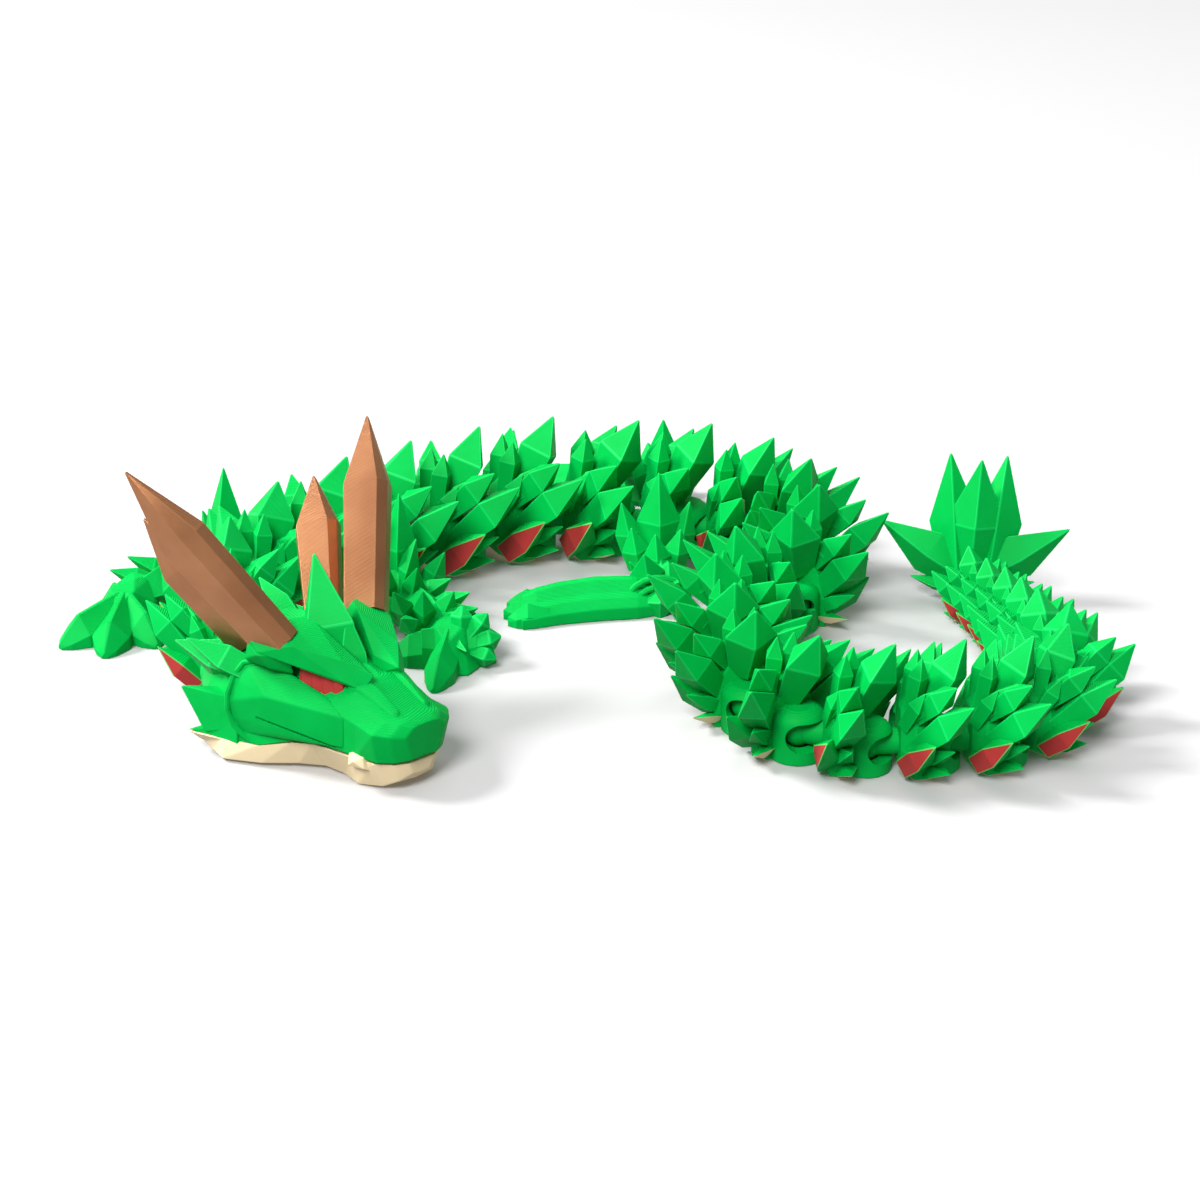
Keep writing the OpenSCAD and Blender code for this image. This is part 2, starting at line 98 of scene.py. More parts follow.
def printed(name, light, dark, groove_shade_colour, rough=0.42, layer=0.55, spec=0.4, metal=0.0, coat=0.0, fine=0.5):
    """Printed plastic: mottled colour, faint stepped layers on shallow slopes with painted shade in their grooves, fine
    surface grain.
    """
    mat = bpy.data.materials.new(name)
    nt, N, L = nodes_of(mat)
    out = N.new("ShaderNodeOutputMaterial")
    bsdf = N.new("ShaderNodeBsdfPrincipled")
    L.new(bsdf.outputs[0], out.inputs[0])
    tc = N.new("ShaderNodeTexCoord")
    geo = N.new("ShaderNodeNewGeometry")
    big = N.new("ShaderNodeTexNoise")
    big.inputs["Scale"].default_value = 45
    big.inputs["Detail"].default_value = 3
    big.inputs["Roughness"].default_value = 0.55
    L.new(tc.outputs["Object"], big.inputs["Vector"])
    small = N.new("ShaderNodeTexNoise")
    small.inputs["Scale"].default_value = 900
    small.inputs["Detail"].default_value = 2
    L.new(tc.outputs["Object"], small.inputs["Vector"])
    ramp = N.new("ShaderNodeValToRGB")
    ramp.color_ramp.elements[0].position = 0.30
    ramp.color_ramp.elements[0].color = (*dark, 1)
    ramp.color_ramp.elements[1].position = 0.70
    ramp.color_ramp.elements[1].color = (*light, 1)
    L.new(big.outputs["Fac"], ramp.inputs["Fac"])
    # layers: height in steps of the print
    sep = N.new("ShaderNodeSeparateXYZ")
    L.new(tc.outputs["Object"], sep.inputs[0])
    mul = N.new("ShaderNodeMath")
    mul.operation = "MULTIPLY"
    mul.inputs[1].default_value = 2 * math.pi / 0.0003
    L.new(sep.outputs["Z"], mul.inputs[0])
    sin = N.new("ShaderNodeMath")
    sin.operation = "SINE"
    L.new(mul.outputs[0], sin.inputs[0])
    # only where the slope is shallow enough to show them
    nsep = N.new("ShaderNodeSeparateXYZ")
    L.new(geo.outputs["Normal"], nsep.inputs[0])
    ab = N.new("ShaderNodeMath")
    ab.operation = "ABSOLUTE"
    L.new(nsep.outputs["Z"], ab.inputs[0])
    show = N.new("ShaderNodeMapRange")
    show.interpolation_type = "SMOOTHSTEP"
    show.inputs["From Min"].default_value = 0.45
    show.inputs["From Max"].default_value = 0.97
    show.inputs["To Min"].default_value = 0.10
    show.inputs["To Max"].default_value = 1.0
    L.new(ab.outputs[0], show.inputs["Value"])
    amp = N.new("ShaderNodeMath")
    amp.operation = "MULTIPLY"
    L.new(sin.outputs[0], amp.inputs[0])
    L.new(show.outputs[0], amp.inputs[1])
    # painted shade: the colour darkens towards the groove shade colour in the grooves between the layers
    groove_shade = N.new("ShaderNodeMapRange")
    groove_shade.inputs["From Min"].default_value = -1.0
    groove_shade.inputs["From Max"].default_value = 0.2
    groove_shade.inputs["To Min"].default_value = layer * 0.35
    groove_shade.inputs["To Max"].default_value = 0.0
    L.new(amp.outputs[0], groove_shade.inputs["Value"])
    mix = N.new("ShaderNodeMix")
    mix.data_type = "RGBA"
    mix.inputs[7].default_value = (*groove_shade_colour, 1)
    L.new(ramp.outputs["Color"], mix.inputs[6])
    L.new(groove_shade.outputs[0], mix.inputs[0])
    L.new(mix.outputs[2], bsdf.inputs["Base Color"])
    # roughness varies a little
    rr = N.new("ShaderNodeMapRange")
    rr.inputs["To Min"].default_value = rough - 0.06
    rr.inputs["To Max"].default_value = rough + 0.10
    L.new(big.outputs["Fac"], rr.inputs["Value"])
    L.new(rr.outputs[0], bsdf.inputs["Roughness"])
    bsdf.inputs["Specular IOR Level"].default_value = spec
    bsdf.inputs["IOR"].default_value = 1.46
    bsdf.inputs["Metallic"].default_value = metal
    if coat:
        bsdf.inputs["Coat Weight"].default_value = coat
        bsdf.inputs["Coat Roughness"].default_value = 0.3
    b1 = N.new("ShaderNodeBump")
    b1.inputs["Strength"].default_value = layer
    b1.inputs["Distance"].default_value = 0.00010
    L.new(amp.outputs[0], b1.inputs["Height"])
    b2 = N.new("ShaderNodeBump")
    b2.inputs["Strength"].default_value = fine
    b2.inputs["Distance"].default_value = 0.00004
    L.new(small.outputs["Fac"], b2.inputs["Height"])
    L.new(b1.outputs[0], b2.inputs["Normal"])
    L.new(b2.outputs[0], bsdf.inputs["Normal"])
    return mat


GREEN = printed("green_print", (0.000, 0.405, 0.062), (0.000, 0.330, 0.046), (0.0, 0.16, 0.02), rough=0.48, spec=0.06)
RED = printed("red_print", (0.43, 0.036, 0.034), (0.34, 0.027, 0.026), (0.17, 0.010, 0.010), rough=0.5, layer=0.3, spec=0.2)
CREAM = printed("cream_print", (0.88, 0.72, 0.46), (0.82, 0.66, 0.40), (0.6, 0.45, 0.25), rough=0.5, layer=0.35, spec=0.2)
HORN = printed("bronze_print", (0.40, 0.180, 0.082), (0.31, 0.130, 0.058), (0.07, 0.024, 0.010), rough=0.38, layer=1.0, spec=0.3, metal=0.8)
# lighter green for the thin band inside the border of the red faces: a painted highlight along their edges
RIM_HIGHLIGHT_MAT = printed("pale_edge_painted_highlight", (0.10, 0.50, 0.11), (0.08, 0.44, 0.09), (0.03, 0.35, 0.05), rough=0.45, layer=0.3, spec=0.15)
# lighter green for the bevels of plain green crystals: a painted highlight along their edges
EDGE_HIGHLIGHT_MAT = printed("green_edge_painted_highlight", (0.003, 0.49, 0.090), (0.002, 0.41, 0.070), (0.0, 0.2, 0.03), rough=0.42, layer=0.3, spec=0.10)
MATS = [GREEN, RED, CREAM, HORN, RIM_HIGHLIGHT_MAT, EDGE_HIGHLIGHT_MAT]
G, R, C, H, RIM_HIGHLIGHT, EDGE_HIGHLIGHT = range(6)

# ------------------------------------------------------------------ mesh tools
scratch = bpy.data.collections.new("scratch")
bpy.context.scene.collection.children.link(scratch)
made_count = [0]


def part(bm, m=None):
    """A scratch solid from a bmesh in mm, moved by m."""
    made_count[0] += 1
    me = bpy.data.meshes.new("s%d" % made_count[0])
    if m is not None:
        bm.transform(m)
        if m.determinant() < 0:
            bmesh.ops.reverse_faces(bm, faces=bm.faces[:])
    bm.to_mesh(me)
    bm.free()
    for mat in MATS:
        me.materials.append(mat)
    o = bpy.data.objects.new("s%d" % made_count[0], me)
    return o


def soften(bm, width, angle=18, segments=2, edge=-1):
    es = [e for e in bm.edges if len(e.link_faces) == 2 and e.calc_face_angle(0) > math.radians(angle)]
    if es and width > 0:
        bmesh.ops.bevel(bm, geom=es, offset=width, offset_type="OFFSET", segments=segments, profile=0.5,
                        affect="EDGES", clamp_overlap=True, material=edge)
    return bm


def faces_out(bm):
    bmesh.ops.recalc_face_normals(bm, faces=bm.faces[:])
    return bm


def spike(a, b, w, t, m=0.45, r=0.7, side=(0, 1, 0), n=4, turn=0, bev=0.35, red=False, cream=False, shift=0.0, mat=G, ridges=None):
    """Crystal from root a to tip b. shift moves its widest section along the depth, for a crooked ridge."""
    a, b, side = Vector(a), Vector(b), Vector(side)
    d = (b - a).normalized()
    u = (side - d * side.dot(d)).normalized()
    v = d.cross(u)
    c = a + (b - a) * m + v * shift
    angles = ridges or [turn + 360 / n * i for i in range(n)]
    ring = lambda o, f: [o + f * (u * w * math.cos(math.radians(q)) + v * t * math.sin(math.radians(q))) for q in angles]
    bm = bmesh.new()
    lo = [bm.verts.new(p) for p in ring(a, r)]
    mid = [bm.verts.new(p) for p in ring(c, 1)]
    tip = bm.verts.new(b)
    bm.faces.new(lo[::-1])
    for i in range(n):
        j = (i + 1) % n
        bm.faces.new((lo[i], lo[j], mid[j], mid[i]))
        bm.faces.new((mid[i], mid[j], tip))
    faces_out(bm)
    for f in bm.faces:
        f.material_index = mat
    if abs(shift) > 1e-6:
        bmesh.ops.triangulate(bm, faces=[f for f in bm.faces if len(f.verts) == 4])
    if red:
        bm.normal_update()
        sel = [f for f in bm.faces if f.normal.dot(Vector(red)) > 0.33]
        if sel:
            for f in sel:
                f.material_index = R
            res = bmesh.ops.inset_region(bm, faces=sel, thickness=0.42, use_even_offset=True, use_boundary=True)
            # the band left by the inset round the red faces is painted as a lighter edge highlight
            for f in res["faces"]:
                f.material_index = RIM_HIGHLIGHT
    if cream:
        bm.normal_update()
        for f in bm.faces:
            if f.normal.z < -0.45:
                f.material_index = C
    # the bevel faces of plain green crystals take the lighter edge colour, a painted edge highlight
    return soften(bm, bev, edge=EDGE_HIGHLIGHT if mat == G and not red and not cream else -1)


def loft(rings, bev=0.4, mat=G, angle=14):
    """Closed solid through rings of points, all of one count."""
    bm = bmesh.new()
    vs = [[bm.verts.new(p) for p in r] for r in rings]
    n = len(rings[0])
    bm.faces.new(vs[0][::-1])
    bm.faces.new(vs[-1])
    for k in range(len(vs) - 1):
        for i in range(n):
            j = (i + 1) % n
            bm.faces.new((vs[k][i], vs[k][j], vs[k + 1][j], vs[k + 1][i]))
    faces_out(bm)
    bmesh.ops.triangulate(bm, faces=[f for f in bm.faces if len(f.verts) == 4])
    for f in bm.faces:
        f.material_index = mat
    return soften(bm, bev, angle)


def hull(points, bev=0.4, mat=G, angle=14):
    """Faceted convex solid."""
    bm = bmesh.new()
    for p in points:
        bm.verts.new(p)
    res = bmesh.ops.convex_hull(bm, input=bm.verts[:])
    inner = [e for e in res["geom_interior"] if isinstance(e, bmesh.types.BMVert)]
    bmesh.ops.delete(bm, geom=inner, context="VERTS")
    faces_out(bm)
    bmesh.ops.dissolve_limit(bm, angle_limit=math.radians(1), verts=bm.verts[:], edges=bm.edges[:])
    for f in bm.faces:
        f.material_index = mat
    return soften(bm, bev, angle)


def ball(r, c, seg=32):
    bm = bmesh.new()
    bmesh.ops.create_uvsphere(bm, u_segments=seg, v_segments=seg // 2, radius=r)
    bm.transform(Matrix.Translation(c))
    return bm


def rod(r1, r2, h, m, seg=32, bev=0.0):
    """Round bar along +Z of length h, moved by m."""
    bm = bmesh.new()
    bmesh.ops.create_cone(bm, cap_ends=True, cap_tris=False, segments=seg, radius1=r1, radius2=r2, depth=h)
    bm.transform(Matrix.Translation((0, 0, h / 2)))
    if bev:
        soften(bm, bev, 40)
    bm.transform(m)
    return bm


def join(name, solids, cutters=(), keep=()):
    """Unites scratch solids into one clean mesh, and takes the cutters away. Vertices come in mm, and leave in m."""
    base = solids[0]
    bpy.context.scene.collection.objects.link(base)
    add = bpy.data.collections.new("add")
    scratch.children.link(add)
    for o in solids[1:]:
        add.objects.link(o)
    if len(solids) > 1:
        m = base.modifiers.new("u", "BOOLEAN")
        m.operation, m.solver, m.operand_type, m.collection = "UNION", "MANIFOLD", "COLLECTION", add
    cut = bpy.data.collections.new("cut")
    scratch.children.link(cut)
    for o in cutters:
        cut.objects.link(o)
    if cutters:
        m = base.modifiers.new("d", "BOOLEAN")
        m.operation, m.solver, m.operand_type, m.collection = "DIFFERENCE", "MANIFOLD", "COLLECTION", cut
    dg = bpy.context.evaluated_depsgraph_get()
    me = bpy.data.meshes.new_from_object(base.evaluated_get(dg))
    me.name = name
    for o in [*solids, *cutters]:
        old = o.data
        bpy.data.objects.remove(o)
        bpy.data.meshes.remove(old)
    for c in (add, cut):
        bpy.data.collections.remove(c)
    bm = bmesh.new()
    bm.from_mesh(me)
    bmesh.ops.remove_doubles(bm, verts=bm.verts[:], dist=0.004)
    bmesh.ops.dissolve_degenerate(bm, dist=0.003, edges=bm.edges[:])
    bm.transform(Matrix.Scale(MM, 4))
    for f in bm.faces:
        f.smooth = True
    bm.to_mesh(me)
    bm.free()
    me.set_sharp_from_angle(angle=math.radians(24))
    obj = bpy.data.objects.new(name, me)
    bpy.context.scene.collection.objects.link(obj)
    wn = obj.modifiers.new("flat facets", "WEIGHTED_NORMAL")
    wn.mode, wn.weight, wn.keep_sharp = "FACE_AREA", 100, True
    return obj


def mounted(obj, body, slot, *nodes):
    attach(obj, body)
    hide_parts(*nodes)
    return obj


# ------------------------------------------------------------------ links
FLANK = [((13.5, 2.8, 20), (15.8, 3.4, 37.2), 3.5, 3.4, 0.62, 0.8),
         ((11.5, 4.5, 15), (16.2, 10, 28.5), 3.7, 3.3, 0.62, 0.8),
         ((13.5, 4.5, 18), (22.3, 11.8, 31), 4.5, 3.8, 0.58, 0.75),
         ((15.5, 5, 18.5), (24.3, 18, 33.6), 5.2, 4.4, 0.58, 0.72),
         ((16, 8, 10.5), (28.4, 24.6, 30.2), 6.5, 5.2, 0.56, 0.72),
         ((12, 8, 4.2), (17.4, 23.5, 17.8), 5.2, 4.6, 0.44, 0.9),
         ((17, 8, 6), (24.3, 20, 14), 3.4, 3.1, 0.44, 0.9),
         ((17.5, 7, 2.2), (23.8, 18, 5.4), 3.5, 1.9, 0.44, 0.9)]
CORE = [(9.9, ((5, 2), (6.2, 8), (5, 16), (2.5, 20))),
        (14, ((10.5, 0), (11.3, 7), (8, 18), (3.2, 25.5))),
        (20, ((9.6, 0), (10.2, 7), (7.2, 17), (2.6, 23.5)))]


def both(h):
    return list(h) + [(-q[0], q[1]) for q in reversed(h) if q[0] != 0]


def scaled(p, i):
    return Vector((p[0] * sx(i), p[1] * sy(i), p[2] * sz(i)))


def ball_arm(j, reach):
    c = Vector((0, 0, JZ * j))
    return [part(ball(0.86 * CAVITY * j, c)),
            part(rod(LOOK_ARM * j, LOOK_ARM * j, reach, Matrix.Translation(c) @ Matrix.Rotation(math.pi / 2, 4, "Y"), 40))]


def housing(j, x=0.0, y=0.0, h=16.0):
    bm = rod(8.2 * j, 8.2 * j, h * j, Matrix.Identity(4), 32)
    top = [e for e in bm.edges if len(e.link_faces) == 2 and e.calc_face_angle(0) > 1 and all(v.co.z > 0.5 * h * j for v in e.verts)]
    bmesh.ops.bevel(bm, geom=top, offset=4.2 * j, offset_type="OFFSET", segments=6, profile=0.5, affect="EDGES", clamp_overlap=True)
    soften(bm, 0.6 * j, 60, 2)
    return bm, Matrix.Translation((x, y, 0))


def socket(j, r=11.5, swing=SWING):
    """The hollow for a ball, and the slot with round ends that its arm swings in."""
    w = LOOK_ARM * j + 0.4
    s, c = math.sin(math.radians(swing)), math.cos(math.radians(swing))
    pts = [(0, 0)]
    for k in range(9):
        a = math.radians(-swing + swing / 4 * k)
        pts.append((r * j * 1.06 * math.cos(a), r * j * 1.06 * math.sin(a)))
    bm = bmesh.new()
    lo = [bm.verts.new((x, y, JZ * j - w)) for x, y in pts]
    hi = [bm.verts.new((x, y, JZ * j + w)) for x, y in pts]
    bm.faces.new(lo[::-1])
    bm.faces.new(hi)
    n = len(pts)
    for i in range(n):
        bm.faces.new((lo[i], lo[(i + 1) % n], hi[(i + 1) % n], hi[i]))
    faces_out(bm)
    out = [part(ball(CAVITY * j, (0, 0, JZ * j), 40)), part(bm)]
    for k in (1, -1):
        m = Matrix.Translation((0, 0, JZ * j)) @ Matrix.Rotation(math.radians(swing * k), 4, "Z") @ Matrix.Rotation(math.pi / 2, 4, "Y")
        out.append(part(rod(w, w, r * j * 1.06, m, 24)))
    return out


def moved(parts, m):
    for o in parts:
        o.data.transform(m)
    return parts


def core(i):
    bm = loft([[scaled((x, q[0], q[1]), i) for q in both(h)] for x, h in CORE], bev=0.5)
    for f in bm.faces:
        if f.normal.z < -0.9:
            f.material_index = C
    return part(bm)


def link_parts(i, rows=range(8)):
    rnd = random.Random(100 + i)
    out = [core(i)]
    bm, m = housing(js(i + 1), CHAIN[i][0])
    out.append(part(bm, m))
    tip = scaled((30.3, 0, 42), i)
    out.append(part(spike(scaled((18.2, 0, 17), i), tip, 8.5 * sy(i), (8.0 if i < 5 else 6.4) * sx(i), 0.58, 0.62, bev=0.5)))
    for k in rows:
        a, b, w, t, mm, r = FLANK[k]
        for s in (1, -1):
            jit = lambda q: Vector((rnd.uniform(-q, q), rnd.uniform(-q, q), rnd.uniform(-q, q)))
            A = scaled((a[0], a[1] * s, a[2]), i)
            B = scaled((b[0], b[1] * s, b[2]), i) + jit(0.25 * sx(i))
            out.append(part(spike(A, B, w * sy(i), t * sx(i), mm, r, bev=0.36 if k in (3, 4, 5) else 0.26,
                                  red=(-0.75, 0.45 * s, -0.5) if k == 5 else False, cream=k == 7)))
    out += ball_arm(js(i), 11 * sx(i) + 1)
    return out


def spine_link(i):
    cut = moved(socket(js(i + 1)), Matrix.Translation((CHAIN[i][0], 0, 0)))
    if i in (SHOULDER, HIP):
        solids = link_parts(i, range(4))
        for s in (1, -1):
            bm = rod(8.2 * LEG_J, 8.2 * LEG_J, 16.5 * LEG_J, Matrix.Identity(4), 28)
            soften(bm, 0.7, 60, 3)
            solids.append(part(bm, Matrix.Translation((LEG_X, s * LEG_Y, 0))))
            turn = math.radians(s * (83 if i == SHOULDER else 86))
            cut += moved(socket(LEG_J, 11.5, LEG_SWING), Matrix.Translation((LEG_X, s * LEG_Y, 0)) @ Matrix.Rotation(turn, 4, "Z"))
    else:
        solids = link_parts(i)
    for o in [*solids, *cut]:
        o.data.transform(at(i))
    name = NAMES[i]
    return mounted(join(name + "_print", solids, cut), name, "green_plastic", name)


for i in range(1, 29):
    spine_link(i)

# ------------------------------------------------------------------ head
HEAD = (Matrix.Translation(W[1]) @ Matrix.Rotation(math.radians(140), 4, "Z")
        @ Matrix.Translation((2.6, 0, 1)) @ Matrix.Rotation(math.radians(5), 4, "X"))


def side_of(points, s):
    return [Vector((x, s * y, z)) for x, y, z in points]


def halves(h):
    """Whole section from a half outline that starts and ends on the middle plane."""
    return [(y, z) for y, z in h] + [(-y, z) for y, z in reversed(h[1:-1])]


def skin(stations, bev, mat=G, angle=10):
    return loft([[(x, y, z) for y, z in halves(h)] for x, h in stations], bev, mat, angle)


def cord(points, r, mat=G, n=8):
    """Thin rounded bead along a few points."""
    pts = [Vector(p) for p in points]
    rings = []
    for k, p in enumerate(pts):
        d = (pts[min(k + 1, len(pts) - 1)] - pts[max(k - 1, 0)]).normalized()
        u = d.cross(Vector((0, 1, 0))).normalized()
        v = d.cross(u)
        rr = r * (0.35 if k in (0, len(pts) - 1) else 1)
        rings.append([p + rr * (u * math.cos(2 * math.pi * i / n) + v * math.sin(2 * math.pi * i / n)) for i in range(n)])
    return loft(rings, 0, mat)


def under_floor():
    bm = bmesh.new()
    bmesh.ops.create_cube(bm, size=1)
    bm.transform(Matrix.Translation((0, 0, -14.95)) @ Matrix.Diagonal((600, 600, 30, 1)))
    return part(bm)


SKULL = [(-84.6, ((0, 8.8), (5.2, 8.8), (8.2, 16.4), (5.2, 18.8), (2.5, 19.2), (0, 19.2))),
         (-82.2, ((0, 8.2), (9.8, 8.2), (12.4, 17.0), (8.0, 19.9), (4.8, 20.4), (0, 20.4))),
         (-78.4, ((0, 8.0), (13.6, 8.2), (16.0, 17.6), (10, 20.4), (6.2, 21.6), (0, 21.8))),
         (-71, ((0, 8.0), (14.4, 8.2), (15.4, 18.8), (11, 23.0), (7.4, 25.2), (0, 25.4))),
         (-66, ((0, 8.0), (15.2, 8.4), (15.4, 19.6), (12, 24.4), (8.2, 27.4), (0, 28.2))),
         (-59, ((0, 8.0), (16.6, 8.7), (16.4, 20.0), (11.5, 24.8), (8, 28), (0, 31))),
         (-51, ((0, 8.0), (18.6, 9.0), (19.8, 19.4), (13.6, 24.0), (9, 30), (0, 36))),
         (-43, ((0, 8.2), (20.8, 9.2), (23.6, 21.0), (15, 26.0), (9, 32), (0, 39))),
         (-36, ((0, 4.0), (22.0, 6.0), (25.2, 18.0), (19, 29), (12, 34), (0, 40))),
         (-28, ((0, 3.0), (23.0, 5.0), (25.6, 16.0), (21, 27), (13, 34), (0, 39))),
         (-17, ((0, 2.0), (18.0, 4.0), (23.0, 15.0), (19, 25), (11, 31), (0, 34))),
         (-6, ((0, 1.8), (11, 3.2), (15.0, 12.0), (13, 21), (8, 26), (0, 28))),
         (-1, ((0, 2.2), (8, 3.4), (10.5, 11.5), (9, 18.5), (5, 23), (0, 24)))]
BROW = [(-35.9, 24.6, 36.0), (-41.4, 25.6, 34.6), (-37.2, 25.4, 38.2), (-37.4, 19.3, 40.6), (-43.6, 10.2, 42.6), (-47.5, 8.4, 41.6),
        (-50, 20.0, 37.6), (-53.4, 17.8, 34.8), (-61.4, 11.6, 34.4), (-63.2, 12.4, 28.4), (-68.2, 5.2, 29.8), (-67.5, 8.6, 25.8),
        (-60, 3, 32), (-44, 9, 29), (-60, 3, 26), (-34, 12, 31)]
CHEEK = [(-33.3, 22.6, 28.9), (-30.7, 25.2, 23.9), (-30.6, 26.8, 17.0), (-31.1, 25.9, 11.1), (-34.1, 24.0, 7.0),
         (-44, 24.4, 21.4), (-50, 20.4, 19.4), (-46.5, 21.6, 9.2), (-52.5, 18.9, 9.2), (-44.5, 16.5, 26.2), (-38, 18, 30), (-32, 12, 12), (-32, 12, 27),
         (-40, 24.0, 12), (-67, 15.4, 19.3), (-67, 15.3, 9.6), (-60, 14.0, 22.6), (-52, 15.0, 25)]
TEMPLE = [(-36.6, 25.0, 37.0), (-33.8, 23.6, 30.0), (-41.6, 26.2, 34.0), (-43.5, 22.6, 29.6), (-48.2, 19.6, 33.6), (-47.5, 16.6, 27.5), (-40, 15, 25), (-34, 12, 31), (-34, 14, 26)]
RIM = [(-38.5, 19.4, 30.2), (-35.4, 21.4, 29.6), (-33.0, 23.0, 28.6), (-30.9, 25.0, 24.4), (-30.2, 26.6, 19.2), (-30.2, 26.6, 14.0), (-31.6, 25.6, 9.8),
       (-34.2, 24.1, 6.6), (-37.5, 22.8, 4.4)]


def head_solids():
    out = [part(skin(SKULL, 0.6))]
    # crest and the small crystal in front of it
    out.append(part(spike((-48, 0, 26), (-37.1, 0, 59.2), 9.0, 11.2, 0.36, 0.95, bev=0.5)))
    out.append(part(spike((-56.5, 0, 25), (-51.4, 0, 44.8), 4.9, 5.4, 0.36, 1.0, bev=0.4)))
    for s in (1, -1):
        out.append(part(hull(side_of(BROW, s), 0.6)))
        out.append(part(hull(side_of(CHEEK, s), 0.7)))
        out.append(part(hull(side_of(TEMPLE, s), 0.5)))
        out.append(part(hull(side_of([(-33, 25.3, 3.7), (-20.3, 27.15, 3.75), (-33, 25.5, 12.2), (-21.9, 27.0, 9.3), (-34, 10, 4), (-20, 10, 4), (-34, 10, 16), (-20, 10, 14)], s), 0.3)))
        out.append(part(cord(side_of(RIM, s), 0.95)))
        # rails on the snout, either side of its middle
        out.append(part(hull(side_of([(-63, 6.5, 29.6), (-63, 10.5, 28.2), (-64, 4.6, 28), (-71, 5.6, 27.0), (-71, 8.4, 25.8), (-78.6, 5.2, 22.6), (-79.2, 7.4, 21.4), (-80, 4.8, 20),
                                      (-62, 5, 24), (-78, 8.4, 18), (-78, 3.6, 18), (-64, 11, 23)], s), 0.55)))
        # cheek blade, jaw corner and rear crystals
        out.append(part(hull(side_of([(-12.2, 29.2, 17.2), (-21.4, 27.6, 4.5), (-31.5, 25.7, 17.8), (-30, 25.5, 7.4), (-26, 21, 18.4), (-30, 14, 8), (-30, 14, 17), (-20, 17, 8)], s), 0.4)))
        out.append(part(hull(side_of([(-15.4, 28.6, 3.9), (-33, 24.2, 4.2), (-39.5, 22.9, 4.6), (-49.5, 18.6, 7.9), (-40, 21.6, 8.2), (-31.5, 24.8, 9.0), (-24, 24, 6.6),
                                      (-18, 14, 2.4), (-40, 12, 2.8), (-49, 12, 5), (-20, 14, 6)], s), 0.35)))
        out.append(part(spike((-28, 15 * s, 22), (-3.5, 24.5 * s, 28), 6.5, 6.8, 0.42, 0.8, bev=0.4)))
        out.append(part(spike((-24, 9 * s, 27), (1, 13.5 * s, 38.5), 5.4, 5.4, 0.45, 0.8, bev=0.4)))
        out.append(part(spike((-34, 19 * s, 24), (-14, 29.5 * s, 33), 5.6, 5.4, 0.42, 0.85, bev=0.4)))
    out.append(part(spike((-24, 0, 27), (5, 0, 42.5), 5.8, 5.4, 0.45, 0.8, bev=0.4)))
    return moved(out, HEAD)


def horn_dir(s):
    return Vector((30, s * 29.3, 47.8)).normalized()


def short_dir(s):
    return Vector((23.5, s * 18, 33.3)).normalized()


JAW = [(-83.4, ((0, 3.4), (3.4, 3.8), (5.4, 7.5), (0, 7.5))),
       (-81.2, ((0, 1.0), (7.0, 1.6), (9.6, 7.5), (0, 7.5))),
       (-76.6, ((0, -0.8), (9.0, -0.8), (13.2, 7.5), (0, 7.5))),
       (-69, ((0, -1.0), (11.2, -1.8), (14.2, 7.5), (0, 7.5))),
       (-62, ((0, -1.0), (9.6, -1.3), (14.9, 7.6), (0, 7.6))),
       (-55, ((0, -0.9), (10.4, -0.8), (16.6, 8.0), (0, 8.0))),
       (-48, ((0, -0.9), (14.6, -1.0), (18.4, 6.8), (0, 6.8))),
       (-39, ((0, -0.9), (21.4, -1.8), (22.9, 4.4), (0, 4.4))),
       (-28, ((0, -0.9), (26.4, -2.4), (26.6, 3.9), (0, 3.9))),
       (-17.5, ((0, -0.9), (24.6, -0.2), (28.8, 3.6), (0, 3.4))),
       (-14.2, ((0, -0.5), (21, 1.0), (27.6, 2.9), (0, 2.9)))]


def jaw_solids():
    out = [part(skin(JAW, 0.5, C))]
    out.append(part(hull([(-80, 6, 3), (-80, -6, 3), (-40, 12, 3), (-40, -12, 3), (-80, 6, 10), (-80, -6, 10), (-40, 12, 10), (-40, -12, 10)], 0.3, C)))
    for s in (1, -1):
        out.append(part(hull(side_of([(-69.2, 12, 4), (-75.0, 11, 4), (-69.3, 15.9, 5.6), (-74.6, 14.6, 5.6), (-69.6, 16.0, 9.6), (-74.0, 14.7, 9.0), (-69.6, 13.6, 9.6), (-74, 12.6, 9.0),
                                      (-71.6, 16.4, 7.6)], s), 0.25, C)))
    return moved(out, HEAD)


def eye_solid(s):
    n = 9
    pts = []
    for k in range(n):
        t = k / (n - 1)
        x, y = -49.0 - 13.0 * t, 15.9 - 4.6 * t + (0.7 if k % 2 else 0)
        pts.append((x, y))
    pts += [(-61.4, 7), (-47, 9)]
    bm = bmesh.new()
    lo = [bm.verts.new((x, s * y, 20.5)) for x, y in pts]
    hi = [bm.verts.new((x + 0.6, s * (y - 0.4), 33.5)) for x, y in pts]
    m = len(pts)
    bm.faces.new(lo[::-1])
    bm.faces.new(hi)
    for i in range(m):
        bm.faces.new((lo[i], lo[(i + 1) % m], hi[(i + 1) % m], hi[i]))
    faces_out(bm)
    for f in bm.faces:
        f.material_index = R
    return [part(soften(bm, 0.25, 12))]


def horn(root, d, length, w, t, m, r, sink, s):
    d = d.normalized()
    ridges = [q * s for q in (55, 126, 164, 195, 280, 335)]
    return part(spike(root - sink * d, root + length * d, w, t, m, r, (0.8, 0, -0.6), 6, bev=0.3, mat=H, ridges=ridges))


